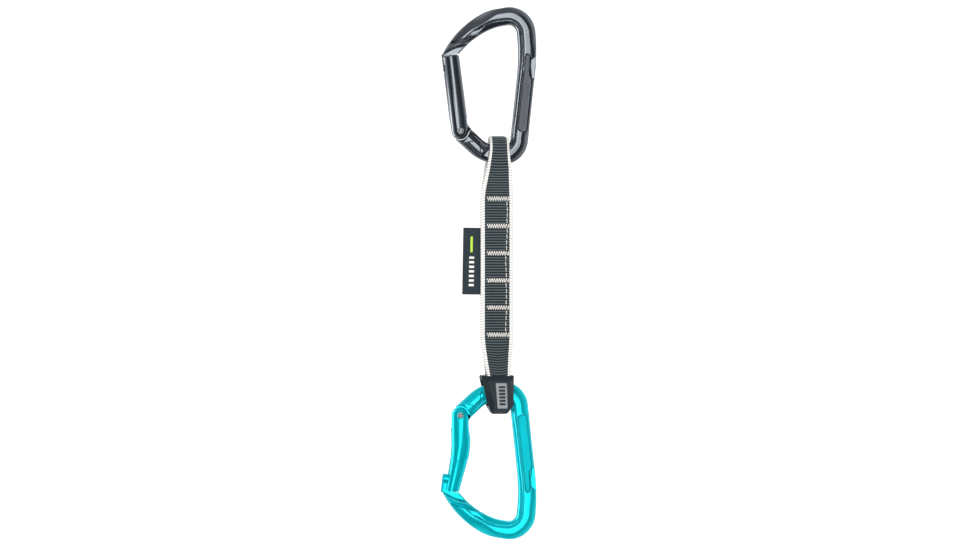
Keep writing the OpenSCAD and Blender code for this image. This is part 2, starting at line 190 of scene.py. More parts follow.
def along_and_across(path, axis):
    """Unit vectors at each point of a path: along it, and square to both it and an axis."""
    t = np.gradient(path, axis=0)
    t /= np.linalg.norm(t, axis=1)[:, None]
    a = np.cross(t, axis)
    a /= np.linalg.norm(a, axis=1)[:, None]
    return t, a


def ring_of(a, b, sides):
    """Points round a unit circle in the plane of the vectors a and b."""
    ang = np.linspace(0, 2 * pi, sides, endpoint=False)
    return a[:, None] * np.cos(ang)[None, :, None] + b[:, None] * np.sin(ang)[None, :, None]


def tube(path, radius, sides):
    """Round tube carried along a path of 3-D points, with rounded-off closed ends."""
    t, a = along_and_across(path, np.array([0.0, 1.0, 0.0]))
    k = np.linspace(0, 1, len(path))
    r = radius * np.sqrt(np.clip(np.minimum(k, 1 - k) * 14, 0.12, 1))
    return outward(sheet_of(path[:, None] + ring_of(a, np.cross(t, a), sides) * r[:, None, None]))


def lathe(profile, sides=40):
    """Turns a profile (radius, height along Y) round the Y axis."""
    p = np.array(profile, float)
    ang = np.linspace(0, 2 * pi, sides, endpoint=False)
    grid = np.stack([p[:, None, 0] * np.cos(ang), np.broadcast_to(p[:, None, 1], (len(p), sides)),
                     p[:, None, 0] * np.sin(ang)], -1)
    return outward(sheet_of(grid))


def plate(outline, levels, place):
    """Outline (x, z) drawn in by each level's inset and set at its depth, stacked into a closed plate."""
    o = np.array(outline, float)
    e = np.roll(o, -1, 0) - o
    n = np.stack([e[:, 1], -e[:, 0]], 1) / np.linalg.norm(e, axis=1)[:, None]
    if (o[:, 0] * np.roll(o[:, 1], -1) - np.roll(o[:, 0], -1) * o[:, 1]).sum() < 0:
        n = -n
    m = n + np.roll(n, 1, 0)
    m /= np.maximum((m * m).sum(1)[:, None] / 2, 0.35)
    rows = [np.stack([o[:, 0] - m[:, 0] * inset, np.full(len(o), y), o[:, 1] - m[:, 1] * inset], 1)
            for inset, y in levels]
    return outward(sheet_of(place(np.stack(rows))))


def make(name, shapes, material, body, slot, replaces=(), angle=35, attribute=None):
    """Joins shapes in millimetres into one object in metres, gives it its finish and lets it ride."""
    verts, faces, uvs, base = [], [], [], 0
    for v, f, u in shapes:
        verts.append(v)
        faces += [[k + base for k in q] for q in f] if base else f
        uvs.append(u)
        base += len(v)
    mesh = bpy.data.meshes.new(name)
    mesh.from_pydata(np.concatenate(verts) * MM, [], faces)
    layer = mesh.uv_layers.new(name="UVMap")
    layer.data.foreach_set("uv", np.concatenate(uvs).astype(np.float32).ravel())
    # Stored as the edge attribute: rubbed edges above zero, painted shade in the hollows below zero.
    if attribute is not None:
        field = mesh.attributes.new("edge", "FLOAT", "POINT")
        values = np.zeros(base, np.float32)
        values[:len(attribute)] = attribute
        field.data.foreach_set("value", values)
    mesh.polygons.foreach_set("use_smooth", np.ones(len(mesh.polygons), bool))
    mesh.set_sharp_from_angle(angle=radians(angle))
    obj = bpy.data.objects.new(name, mesh)
    return settle(obj, material, body, slot, replaces)


def settle(obj, material, body, slot, replaces=()):
    """Links an object, gives it a material and says what it rides on and stands for."""
    bpy.context.scene.collection.objects.link(obj)
    obj.data.materials.clear()
    obj.data.materials.append(material)
    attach(obj, body)
    if replaces:
        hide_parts(*replaces)
    return obj


def softened(name, node, material, body, slot, width, reshape, angle=30):
    """A merged and reshaped copy of a frame solid with its edges rounded off by a small bevel."""
    bm = bmesh.new()
    bm.from_mesh(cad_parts[node].data)
    bmesh.ops.remove_doubles(bm, verts=bm.verts, dist=2e-6)
    points = np.array([vert.co for vert in bm.verts])
    for vert, place in zip(bm.verts, reshape(points / MM) * MM):
        vert.co = place
    bmesh.ops.dissolve_limit(bm, angle_limit=radians(1.0), verts=bm.verts, edges=bm.edges)
    mesh = bpy.data.meshes.new(name)
    bm.to_mesh(mesh)
    bm.free()
    mesh.polygons.foreach_set("use_smooth", np.ones(len(mesh.polygons), bool))
    mesh.set_sharp_from_angle(angle=radians(angle))
    obj = settle(bpy.data.objects.new(name, mesh), material, body, slot, (node,))
    bevel = obj.modifiers.new("Soft edges", "BEVEL")
    bevel.width, bevel.segments, bevel.limit_method = width * MM, 2, "ANGLE"
    bevel.angle_limit, bevel.harden_normals = radians(angle), True
    return obj


# ---- Shader maths -----------------------------------------------------------------------------
class Val:
    """A node socket that adds Math nodes when it is used in arithmetic."""

    def __init__(self, shader, socket):
        self.shader, self.socket = shader, socket

    def math(self, op, *others, clamp=False):
        return self.shader.math(op, self, *others, clamp=clamp)

    def __add__(self, o): return self.math("ADD", o)
    def __sub__(self, o): return self.math("SUBTRACT", o)
    def __mul__(self, o): return self.math("MULTIPLY", o)
    def __rsub__(self, o): return self.shader.math("SUBTRACT", o, self)
    __radd__, __rmul__ = __add__, __mul__

    def wave(self, cycles=1.0):
        """0 to 1 and back, once per unit over cycles."""
        return (self * (2 * pi * cycles)).math("COSINE") * 0.5 + 0.5

    def step(self, lo, hi):
        return self.shader.node("ShaderNodeMapRange", {"interpolation_type": "SMOOTHSTEP"},
                                {"Value": self, "From Min": lo, "From Max": hi})


class Shader:
    """A material whose nodes are added by expressions."""

    def __init__(self, name, **constants):
        self.material = bpy.data.materials.new(name)
        self.material.use_nodes = True
        self.tree = self.material.node_tree
        self.bsdf = self.tree.nodes["Principled BSDF"]
        for key, value in constants.items():
            self.bsdf.inputs[key.replace("_", " ").title().replace("Ior", "IOR")].default_value = value

    def node(self, kind, settings=None, inputs=None, out=0):
        node = self.tree.nodes.new(kind)
        for key, value in (settings or {}).items():
            setattr(node, key, value)
        for key, value in (inputs or {}).items():
            if isinstance(value, Val):
                self.tree.links.new(value.socket, node.inputs[key])
            else:
                node.inputs[key].default_value = value
        return Val(self, node.outputs[out])

    def math(self, op, *terms, clamp=False):
        return self.node("ShaderNodeMath", {"operation": op, "use_clamp": clamp}, dict(enumerate(terms)))

    def noise(self, scale, detail, stretch=(1, 1, 1)):
        """Noise on the object's own coordinates, with its scale in cycles per metre."""
        at = self.node("ShaderNodeTexCoord", out=3)
        at = self.node("ShaderNodeMapping", {}, {"Vector": at, "Scale": stretch})
        return self.node("ShaderNodeTexNoise", {}, {"Vector": at, "Scale": scale, "Detail": detail})

    def uv(self):
        parts = self.tree.nodes.new("ShaderNodeSeparateXYZ")
        at = self.node("ShaderNodeUVMap", {"uv_map": "UVMap"})
        self.tree.links.new(at.socket, parts.inputs[0])
        return Val(self, parts.outputs[0]), Val(self, parts.outputs[1])

    def mix(self, factor, a, b, blend="MIX"):
        node = self.tree.nodes.new("ShaderNodeMix")
        node.data_type, node.blend_type = "RGBA", blend
        for socket, value in ((node.inputs[0], factor), (node.inputs[6], a), (node.inputs[7], b)):
            if isinstance(value, Val):
                self.tree.links.new(value.socket, socket)
            else:
                socket.default_value = value if isinstance(value, (int, float)) else (*value, 1.0)
        return Val(self, node.outputs[2])

    def bump(self, height, distance, strength=1.0):
        sockets = {"Height": height, "Distance": distance, "Strength": strength}
        normal = self.node("ShaderNodeBump", {}, sockets)
        self.tree.links.new(normal.socket, self.bsdf.inputs["Normal"])

    def set(self, name, value):
        self.tree.links.new(value.socket, self.bsdf.inputs[name])


def shade(c, k):
    """Colour c times k, kept within 0 to 1."""
    return tuple(min(1.0, v * k) for v in c)


def anodised_metal(name, colour, metallic, rough):
    """Dyed anodised aluminium: tumbled fine grain, faint lay lines, brighter rubbed edges and painted shade
    in the grooves and hollows.
    """
    s = Shader(name, metallic=metallic)
    cloud, grain = s.noise(60, 4), s.noise(2600, 2)
    lay = s.noise(420, 2, stretch=(1, 1, 0.12))
    # The edge attribute is positive on rubbed edges and negative in grooves and hollows, where it gives
    # painted shade.
    rub_and_shade = s.node("ShaderNodeAttribute", {"attribute_name": "edge"}, out=2)
    base = s.mix(cloud, shade(colour, 0.93), shade(colour, 1.06))
    # Painted shade: grooves and hollows darkened towards a fifth of the colour.
    base = s.mix((rub_and_shade * -1.0).math("MULTIPLY", 0.75, clamp=True), base, shade(colour, 0.22))
    s.set("Base Color", s.mix((rub_and_shade * (cloud + 0.35)).math("MULTIPLY", 0.3, clamp=True), base,
                              tuple(0.8 * v + 0.2 * max(colour) + 0.03 for v in colour)))
    s.set("Roughness", cloud * 0.05 + lay * 0.03 + rough)
    s.bump(grain * 0.6 + lay * 0.4, 0.000003, 0.5)
    return s.material


def steel(name):
    """Bright steel with fine turning marks."""
    s = Shader(name, metallic=1.0)
    grain = s.noise(1800, 2)
    s.set("Base Color", s.mix(grain, (0.56, 0.55, 0.54), (0.78, 0.77, 0.76)))
    s.set("Roughness", grain * 0.2 + 0.16)
    s.bump(grain, 0.00003, 0.5)
    return s.material


def web_weave(name, dark, line, edge):
    """Ribbed webbing: dark ribs with painted shade in their troughs and a painted highlight on their tops
    across the middle, white twill with painted shade in its gaps along both edges.
    """
    s = Shader(name, roughness=0.86, sheen_weight=0.25, sheen_roughness=0.5)
    u, v = s.uv()
    across = (u - 0.5).math("ABSOLUTE")
    border = across.step(0.372, 0.380)
    rib = v.wave()
    rib_top_highlight = rib.step(0.62, 0.92)
    yarn = (u * 46).wave()
    fuzz = s.noise(5200, 2)
    # Painted shade: the troughs between the ribs darkened to under half the webbing's colour.
    body = s.mix(rib.step(0.0, 0.75), shade(dark, 0.45), dark)
    # Painted highlight: the rib tops paled towards the line colour, broken up by the yarn and fuzz.
    body = s.mix(rib_top_highlight * (yarn * 0.35 + 0.65) * (fuzz * 0.8 + 0.35), body, line)
    twill = (v + across * 3).wave()
    # Painted shade: the gaps of the twill darkened to under half the edge colour.
    gap = twill.step(0.0, 0.35)
    white = s.mix(gap, shade(edge, 0.42), edge)
    soil = s.noise(180, 4).step(0.45, 0.75)
    colour = s.mix(border, body, s.mix(soil * 0.14, white, shade(edge, 0.7)))
    s.set("Base Color", colour)
    s.bump((1 - border) * (rib * 0.5 + yarn * rib * 0.25) + border * twill * 0.6 + fuzz * 0.12, 0.00022, 0.9)
    return s.material


def sewing_thread(name, colour):
    """Twisted polyester thread: mottled plies and a soft sheen."""
    s = Shader(name, roughness=0.62, sheen_weight=0.3)
    ply, fuzz = s.noise(2400, 2), s.noise(6000, 2)
    s.set("Base Color", s.mix(ply.step(0.3, 0.7), shade(colour, 0.74), colour))
    s.bump(ply + fuzz * 0.3, 0.0001, 0.7)
    return s.material


def woven_label(name, colour, mark, pale):
    """Fine satin-woven label with a plain bright bar and a row of short pale bars."""
    s = Shader(name, roughness=0.7, sheen_weight=0.2)
    u, v = s.uv()
    box = lambda u0, u1, v0, v1: (u.step(u0, u0 + 0.01) * (1 - u.step(u1 - 0.01, u1))
                                  * v.step(v0, v0 + 0.004) * (1 - v.step(v1 - 0.004, v1)))
    bar = box(0.23, 0.275, 0.13, 0.37)
    row = ((v - 0.43) * 14.6).math("FRACT")
    dashes = box(0.215, 0.30, 0.43, 0.90) * (1 - row.step(0.46, 0.54))
    thread = (u * 160).wave() * 0.5 + (v * 210).wave() * 0.5
    ground = s.mix(thread, shade(colour, 0.75), shade(colour, 1.15))
    s.set("Base Color", s.mix(dashes, s.mix(bar, ground, mark), pale))
    s.bump(thread + (bar + dashes) * 0.8, 0.00006, 0.8)
    return s.material


def moulded_rubber(name, colour):
    """Slate rubber with a fine spark-eroded skin and slightly polished high spots."""
    s = Shader(name)
    skin, cloud = s.noise(1500, 3), s.noise(90, 4)
    s.set("Base Color", s.mix(cloud, shade(colour, 0.85), shade(colour, 1.15)))
    s.set("Roughness", skin * 0.14 + cloud * 0.1 + 0.34)
    s.bump(skin, 0.00006, 0.7)
    return s.material


def badge_finish(name, colour):
    """Satin grey plastic with a brushed lay."""
    s = Shader(name, metallic=0.35)
    lay, cloud = s.noise(900, 2, stretch=(1, 1, 0.1)), s.noise(120, 3)
    s.set("Base Color", s.mix(lay, shade(colour, 0.86), shade(colour, 1.1)))
    s.set("Roughness", cloud * 0.15 + 0.34)
    s.bump(lay, 0.00003, 0.5)
    return s.material


def studio_white(name):
    """Even pale sweep with a barely visible mottle."""
    s = Shader(name, roughness=0.9, emission_color=(1, 1, 1, 1), emission_strength=0.62)
    s.set("Base Color", s.mix(s.noise(3, 2), (0.86, 0.86, 0.86), (0.89, 0.89, 0.89)))
    return s.material


# ---- Carabiner body ---------------------------------------------------------------------------
ARM = (np.array(SEAT_LEFT[:2]) - HINGE) / np.linalg.norm(np.array(SEAT_LEFT[:2]) - HINGE)
GATE_LEAN = atan2(-NOSE_AXIS[0], NOSE_AXIS[1])
ROUND = 144                                     # points round the bar's section
SQUARENESS = 2.7                                # exponent of the section's superellipse
PITCH, EASE = 0.4, 27                           # step along the bar, and steps that soften a line on it
ARM_RUN, TANG_RUN, NOSE_RUN = 26, 30, 22        # lengths of bar that hold the arm, the tang and the nose
FACET_DEPTH, GRIP_DEPTH, FILM = 3.55, 2.7, 0.02  # half depths of the nose facet, the grip cut and the rim

# Lines on the face of the bar, as (x, z)
RIDGE = [(-18.0, 76.0), (-10.1, 80.4), (-5.4, 83.6), (-0.9, 86.7), (5.6, 88.0), (12.0, 85.7), (16.6, 81.2),
         (18.9, 75.3), (19.2, 68.8), (20.9, 62), (20.6, 52), (19.5, 40), (17.9, 20), (13.9, 13), (13.4, 6),
         (10.5, 2.0), (7.2, -0.8), (2.0, -2.6), (-6, -1.6)]
NOSE_LINE = [(-21.5, 71.6), (-16.3, 76.6), (-10.1, 79.6), (-6.0, 80.2)]
GROOVE = [(-14.0, 76.8), (-4.8, 81.8), (0.4, 83.1), (6.2, 83.6), (10.8, 81.5), (13.7, 76.6), (14.5, 67.5),
          (13.7, 54.6), (12.2, 41.6), (10.8, 28.6), (9.1, 15.6), (8.2, 7.2), (5.0, 2.5)]


def valley(x, half_width):
    """A bell from 1 at x = 0, the section of a groove."""
    return np.exp(-(x / half_width) ** 2)


class Bar:
    """The bar as a grid of lengths s along its centre line and places u across it. Its face stands
    depth(s, u) either side of the middle plane: a superellipse, which the features below cut down."""

    def __init__(self, relief):
        corners = [(*(HINGE + 1.5 * ARM), 0), SEAT_LEFT, SEAT_RIGHT, SPINE_MID, CROWN, CROWN_LEFT, NOSE_BEND]
        self.p, self.t, self.run, self.length = even(rounded([*corners, (*NOSE_TIP, 0)], n=40), PITCH)
        share = self.run / (self.length + 5.0)
        self.phi = (np.arange(ROUND) + 0.5) * 2 * pi / ROUND
        c = np.cos(self.phi)[None]
        self.relief, self.s = relief, self.run[:, None]
        self.u = (np.interp(share, STATIONS, BAR_WIDTHS) / 2)[:, None] * c
        self.flat = (np.interp(share, STATIONS, BAR_DEPTHS) / 2 * 0.985)[:, None]
        self.depth = self.flat * (1 - np.abs(c) ** SQUARENESS) ** (1 / SQUARENESS)
        self.normal = np.stack([self.t[:, 1], -self.t[:, 0]], 1)
        self.x = self.p[:, :1] + self.normal[:, :1] * self.u
        self.z = self.p[:, 1:] + self.normal[:, 1:] * self.u
        dx, dz = self.x - NOSE_TIP[0], self.z - NOSE_TIP[1]
        self.slant = dx * NOSE_AXIS[0] + dz * NOSE_AXIS[1] - 0.14 * (dx * NOSE_AXIS[1] - dz * NOSE_AXIS[0])

    def at(self, x, z):
        """Length and place across of a point on the face."""
        k = np.argmin(((self.p - (x, z)) ** 2).sum(1))
        return self.run[k], (np.array([x, z]) - self.p[k]) @ self.normal[k]

    def line(self, points):
        """A line on the face as its place across at each length, softened along its run."""
        known = sorted(self.at(x, z) for x, z in points)
        exact = np.interp(self.run, [a for a, _ in known], [b for _, b in known])
        eased = np.hanning(EASE)[1:-1] / np.hanning(EASE).sum()
        return np.convolve(np.pad(exact, EASE // 2 - 1, "edge"), eased, "valid")[:, None]

    def lower_to(self, floor, share):
        """Brings the face down to a floor by a share, where it stands above it."""
        self.depth = self.depth - share * np.maximum(self.depth - floor, 0)

    def trim_to(self, ceiling):
        """Cuts off what stands above a ceiling."""
        self.depth = np.minimum(self.depth, ceiling)


def outer_bevel(bar):
    """Planes the face down outside the ridge line by 0.34 of the distance past it and 0.10 of its square."""
    past = np.maximum(bar.u - bar.line(RIDGE), 0)
    to_nose = ramp(bar.s, bar.at(-8, 81)[0], bar.at(-17, 76)[0])
    bar.trim_to(bar.flat * 0.99 - bar.relief * (1 - 0.55 * to_nose) * (0.34 * past + 0.10 * past ** 2))


def nose_step(bar):
    """Lowers the inner side of the slanting line that leads to the nose."""
    inside = bar.line(NOSE_LINE) - bar.u
    clear = np.where(bar.s > bar.length - NOSE_RUN, ramp(bar.slant, 7.4, 7.9), 1)
    share = ramp(inside, -0.05, 0.45) * ramp(bar.s, bar.at(-3, 82)[0], bar.at(-19, 74)[0]) * clear
    bar.lower_to(bar.flat - bar.relief * (1.0 + 0.10 * inside), share)


def inner_bevel(bar):
    """Planes the face down inside the groove line, and sinks the groove along it."""
    off = bar.line(GROOVE) - bar.u
    begin, end = bar.at(7.5, 4)[0], bar.at(-16, 75)[0]
    run = ramp(bar.s, begin, begin + 4) * (1 - ramp(bar.s, end - 7, end))
    bar.trim_to(bar.flat - bar.relief * (0.55 * run * np.maximum(off, 0)))
    bar.depth = bar.depth - bar.relief * 0.95 * run * valley(off, 0.50)


def spine_pocket(bar):
    """Sinks a pocket with round corners and a flat floor down the spine, narrower past the grip cut."""
    low, high = bar.at(14.5, 14.0)[0], bar.at(17.9, 62.5)[0]
    corner = 2.2
    inner = -2.15 + 0.25 * ramp(bar.s, high - 20, high)
    outer = 3.75 - 1.9 * ramp(bar.s, high - 16.5, high - 11.5)
    across = np.maximum(inner - bar.u, bar.u - outer) + corner
    along = np.abs(bar.s - (low + high) / 2) - (high - low) / 2 + corner
    rim = np.hypot(np.maximum(across, 0), np.maximum(along, 0)) - corner
    rim = rim + np.minimum(np.maximum(across, along), 0)
    bar.lower_to(bar.flat - bar.relief * (1.5 + 0.045 * (bar.u - inner)), 1 - ramp(rim, -0.38, 0.05))


def grip_cut(bar):
    """Cuts the three-sided flat into the outer edge of the spine."""
    x, z = bar.x, bar.z
    sides = [19.5 - x + np.abs(z - 55.0) * 0.10, z - 58.9 - (x - 19.8) * 0.85, 47.0 - z + (x - 21.5) * 0.3]
    bar.lower_to(GRIP_DEPTH + 0.03 * (x - 19.5), 1 - ramp(np.maximum.reduce(sides), -0.35, 0.05))


def hinge_arm(bar):
    """Beside the hinge, leaves a raised outer panel over a lowered web with one channel in it."""
    a = (bar.x - HINGE[0]) * ARM[0] + (bar.z - HINGE[1]) * ARM[1]
    b = (bar.x - HINGE[0]) * ARM[1] - (bar.z - HINGE[1]) * ARM[0]
    zone = ramp(a, 5.6, 6.2) * (1 - ramp(a, 18.6, 21.0)) * (bar.s < ARM_RUN)
    panel = np.maximum.reduce([-0.75 - b, (6.9 + (3.7 - b) * 0.77) - a, a - (15.6 + (b + 0.6) * 1.2)])
    web = ramp(panel, -0.1, 0.35)
    bar.lower_to(bar.flat - bar.relief * (1.2 + 0.24 * np.maximum(-0.75 - b, 0)), zone * web)
    bar.depth = bar.depth - zone * bar.relief * (0.7 * valley(b + 3.0, 0.38) * ramp(a, 8.5, 9.5))
    bar.lower_to(bar.flat - 0.25 - 0.32 * bar.relief * np.maximum(b - 1.2, 0), zone * (1 - web))


def nose_facets(bar):
    """A flat facet at the nose's face, a slanting nick above it and a sloping notch above that."""
    near, slant = (bar.s > bar.length - NOSE_RUN).astype(float), bar.slant
    bar.lower_to(FACET_DEPTH, near * (1 - ramp(slant, 3.1, 3.35)))
    bar.depth = bar.depth - near * bar.relief * valley(slant - 3.75, 0.55)
    notch = 0.60 * np.clip(slant - 5.0, 0, 2.5) * (1 - ramp(slant, 7.5, 8.0))
    bar.depth = bar.depth - near * bar.relief * notch


def thin_for_gate(bar, lean, swing):
    """Thins the bar to the tang wherever the gate's ears pass, from its closed lean through its swing."""
    dx, dz = bar.x - HINGE[0], bar.z - HINGE[1]
    room = np.hypot(dx, dz) - CHEEK_R
    for turn in (lean, lean - radians(swing)):
        across, up = dx * cos(turn) + dz * sin(turn), -dx * sin(turn) + dz * cos(turn)
        room = np.minimum(room, np.maximum(np.abs(across) - CHEEK_R, np.maximum(-up, up - 15)))
    thin = np.minimum(bar.depth, TANG_HALF + 7 * np.maximum(room - 0.08, 0))
    bar.depth = np.where(bar.s < TANG_RUN, thin, bar.depth)


def rub_and_hollow_shade(depth):
    """How far each point stands above (to 1) or below (to -1) its neighbours: above marks rubbed edges, below
    marks painted shade in the hollows.
    """
    beside = sum(np.roll(depth, k, 1) for k in (1, -1, 2, -2)) / 4
    rows = np.vstack([depth[:1], depth[:-1]]) + np.vstack([depth[1:], depth[-1:]])
    rub_and_shade = np.clip((depth - beside) * 5, -0.7, 0.7) + np.clip((depth - rows / 2) * 5, -0.5, 0.5)
    half = ROUND // 2
    rub_and_shade[:, [0, 1, -1, -2, half - 2, half - 1, half, half + 1]] = 0
    return np.clip(rub_and_shade, -1, 1).ravel()


def forged_bar(relief, gate_lean, gate_swing):
    """The carabiner's bar with all its features, and its rubbed edges and painted hollow shade; the nose's
    face is square to the gate.
    """
    bar = Bar(relief)
    for feature in (outer_bevel, nose_step, inner_bevel, spine_pocket, grip_cut, hinge_arm, nose_facets):
        feature(bar)
    thin_for_gate(bar, gate_lean, gate_swing)
    depth = np.maximum(bar.depth, FILM)
    end = NOSE_TIP + bar.normal[-1] * bar.u[-1][:, None]
    lag = ((end - NOSE_TIP) @ NOSE_AXIS) / (bar.t[-1] @ NOSE_AXIS)
    slide = ramp(bar.s, bar.length - 8, bar.length) * -lag[None]
    x, z = bar.x + bar.t[:, :1] * slide, bar.z + bar.t[:, 1:] * slide
    points = np.stack([x, np.sign(np.sin(bar.phi))[None] * depth, z], -1)
    return outward(sheet_of(points)), rub_and_hollow_shade(depth)


def tang_plate(lean):
    """Rounded boss and cam that fill the slot of the gate, as one plate."""
    ang = np.linspace(0, 2 * pi, 48, endpoint=False)
    pts = np.vstack([BOSS_R * np.stack([np.cos(ang), np.sin(ang)], 1), [[4.6, 4.8], [7, 0.5], [4, -2]]])
    order = np.argsort(pts[:, 0])
    hull = []
    for side in (pts[order], pts[order][::-1]):
        part = []
        for q in side:
            while len(part) > 1 and np.cross(part[-1] - part[-2], q - part[-2]) <= 1e-9:
                part.pop()
            part.append(q)
        hull += part[:-1]
    x, z = np.array(hull).T
    o = np.stack([HINGE[0] + x * cos(lean) - z * sin(lean), HINGE[1] + x * sin(lean) + z * cos(lean)], 1)
    h = TANG_HALF
    return o, [(0.3, -h), (0, -h + 0.3), (0, h - 0.3), (0.3, h)]


def nose_hook(reach):
    """The keyhole-shaped hook under the nose: a round head on a narrow neck, carried across the bar."""
    ang = np.linspace(-0.5 * pi, 1.5 * pi, 40)
    head = np.stack([3.0 * np.cos(ang), -7.5 + 3.0 * np.sin(ang)], 1)
    head = head[np.abs(head[:, 0]) + 100 * (head[:, 1] < -5.2) > 1.7]
    right, left = head[head[:, 0] > 0], head[head[:, 0] <= 0]
    right = right[np.argsort(right[:, 1])]
    left = left[np.argsort(-left[:, 1])]
    outline = np.vstack([right, [[1.7, -4.9], [1.7, 1.0], [-1.7, 1.0], [-1.7, -4.9]], left])
    levels = [(0.45, -reach), (0.12, 0.15 - reach), (0.0, 0.5 - reach), (0.0, 0.2), (0.3, 0.5)]

    def place(rows):
        y, zz, xx = rows[..., 0], rows[..., 2], rows[..., 1]
        return np.stack([NOSE_TIP[0] + xx * NOSE_AXIS[1] + zz * NOSE_AXIS[0], y,
                         NOSE_TIP[1] - xx * NOSE_AXIS[0] + zz * NOSE_AXIS[1]], -1)
    return plate(outline, levels, place)


def coil_spring(tilt):
    """Round wire wound on a helix about the gate's axis, with its end turns drawn flat."""
    q = np.linspace(0, 1, 190)
    turn = 2 * pi * SPRING_TURNS * q
    rise = np.interp(q, [0, 0.1, 0.9, 1], [0, 0.035, 0.965, 1])
    h = SPRING_FOOT + (SPRING_TOP - SPRING_FOOT) * rise
    flat = np.stack([SPRING_R * np.cos(turn), SPRING_R * np.sin(turn), h], 1)
    x = HINGE[0] + flat[:, 0] * cos(tilt) - flat[:, 2] * sin(tilt)
    z = HINGE[1] + flat[:, 0] * sin(tilt) + flat[:, 2] * cos(tilt)
    path = np.stack([x, flat[:, 1], z], 1)
    t, out = along_and_across(path, np.array([-sin(tilt), 0, cos(tilt)]))
    return outward(sheet_of(path[:, None] + ring_of(out, np.cross(out, t), 8) * WIRE_R))


# ---- Sling ------------------------------------------------------------------------------------
def webbing_strip(rib_pitch, rib_height):
    """Flat webbing carried round the closed loop path in the Y-Z plane: at length s and place k round its
    section it stands half its thickness off the path, plus ribs that rise once per pitch of s."""
    t = WEB_T - PLY_GAP / 2
    up, low, mid = LOOP_R + WEB_T - t / 2, GUARD_LOOP_R + WEB_T - t / 2, WEB_T - t / 2
    half = [(up, LOOP_INNER + WEB_T - t / 2, up - 0.01), (up, -SHOULDER, 11), (mid, -THROAT, 21),
            (mid, THROAT - SLING_LEN, 21), (low, SHOULDER - SLING_LEN, 11),
            (low, -SLING_LEN - LOOP_INNER - WEB_T + t / 2, low - 0.01)]
    corners = half + [(-q[0], q[1], q[2]) for q in half[::-1]]
    p, tan, s, length = even(rounded(corners, True, 30), rib_pitch / 6, True)
    area = (p[:, 0] * np.roll(p[:, 1], -1) - np.roll(p[:, 0], -1) * p[:, 1]).sum()
    n = np.stack([tan[:, 1], -tan[:, 0]], 1) * np.sign(area)
    z, low_z = p[:, 1], -SLING_LEN
    zs = np.linspace(low_z - 25, 25, 900)
    knots = [low_z, low_z + 10, low_z + 32, -25, 2]
    loop, left, right = LOOP_W / 2, WEB_SHIFT - WEB_W / 2, WEB_SHIFT + WEB_W / 2
    soft = np.hanning(70) / np.hanning(70).sum()
    padded = lambda v: np.pad(np.interp(zs, knots, v), 35, "edge")
    ease = lambda v: np.interp(z, zs, np.convolve(padded(v), soft, "same")[35:-35])
    x0, x1 = ease([-loop, -loop - 1.6, left, left, -loop]), ease([loop, loop + 0.8, right, right, loop])
    face, back = np.linspace(1, -1, FACE_COLS), np.linspace(-1, 1, BACK_COLS)
    arc = np.linspace(0, pi, EDGE_COLS + 2)[1:-1]
    k = np.r_[face, np.full(EDGE_COLS, -1.0), back, np.full(EDGE_COLS, 1.0)]
    lift = np.r_[np.ones(FACE_COLS), np.cos(arc), -np.ones(BACK_COLS), -np.cos(arc)]
    bulge = np.r_[np.zeros(FACE_COLS), -np.sin(arc), np.zeros(BACK_COLS), np.sin(arc)]
    centre, half_w = ((x0 + x1) / 2)[:, None], ((x1 - x0) / 2 - t / 2)[:, None]
    x = centre + half_w * k
    bowed = ramp(-z, -low_z - 42, -low_z - 14)[:, None] + 0.4 * ramp(z, -22, -4)[:, None]
    phase = s[:, None] / rib_pitch + np.sign(p[:, :1]) * bowed * 0.9 * (k[None] ** 2)
    x = x + bulge * (t / 2 + 0.14 * np.cos(2 * pi * phase) - 0.06)
    across = (x - centre) / (half_w + t / 2)
    middle = 1 - ramp(np.abs(across), 0.72, 0.77)
    plain = 1 - 0.85 * ramp(z, 5, 9)[:, None]
    curl = 0.7 * ramp(across, 0.45, 1.0) * ramp(z, -8, 3)[:, None]
    rib = rib_height * plain * middle * (0.5 + 0.5 * np.cos(2 * pi * phase)) ** 2
    cord = 0.10 * ramp(np.abs(across), 0.74, 0.80) * (1 - ramp(np.abs(across), 0.93, 1.0))
    off = lift * (t / 2 - rib_height) - curl + np.sign(lift) * (rib + cord) * (np.abs(lift) > 0.99)
    y, zz = p[:, :1] + n[:, :1] * off, p[:, 1:] + n[:, 1:] * off
    grid = np.stack([x, y, zz], -1)
    uv = np.stack([across / 2 + 0.5, np.broadcast_to(phase, across.shape)], -1)
    uv = np.concatenate([uv, uv[:, :1]], 1)
    last = uv[:1].copy()
    last[..., 1] += length / rib_pitch
    uv = np.concatenate([uv, last], 0)
    return outward(sheet_of(grid, wrap_rows=True, caps=False, uv=uv))


def tack_threads(i, zigs, radius):
    """Zigzag thread on both faces: a rounded triangle wave along X, closed by one bar at its right end."""
    q = np.linspace(0, 1, zigs * 14)
    x = TACK_X + (TACK_W - 1.4) * (q - 0.5)
    z0 = TACK_FIRST - TACK_PITCH * i
    shapes = []
    for face in (-1, 1):
        wave = np.arcsin(0.985 * np.sin(2 * pi * zigs * q)) / 1.4
        z = z0 + wave * 1.30 + 0.06 * np.sin(17 * q + i)
        y = face * (WEB_T + 0.16 - 0.16 * np.abs(wave) ** 6)
        shapes.append(tube(upper(np.stack([x, y, z], 1)), radius, 6))
        up = np.linspace(-1, 1, 14)
        bar_x = x[-1] + 0.25 + 0.175 * np.sin(pi * (up + 1) / 2)
        bar = np.stack([bar_x, np.full(14, face * (WEB_T + 0.16)), z0 + 1.25 * up], 1)
        shapes.append(tube(upper(bar), radius * 1.15, 6))
    return shapes


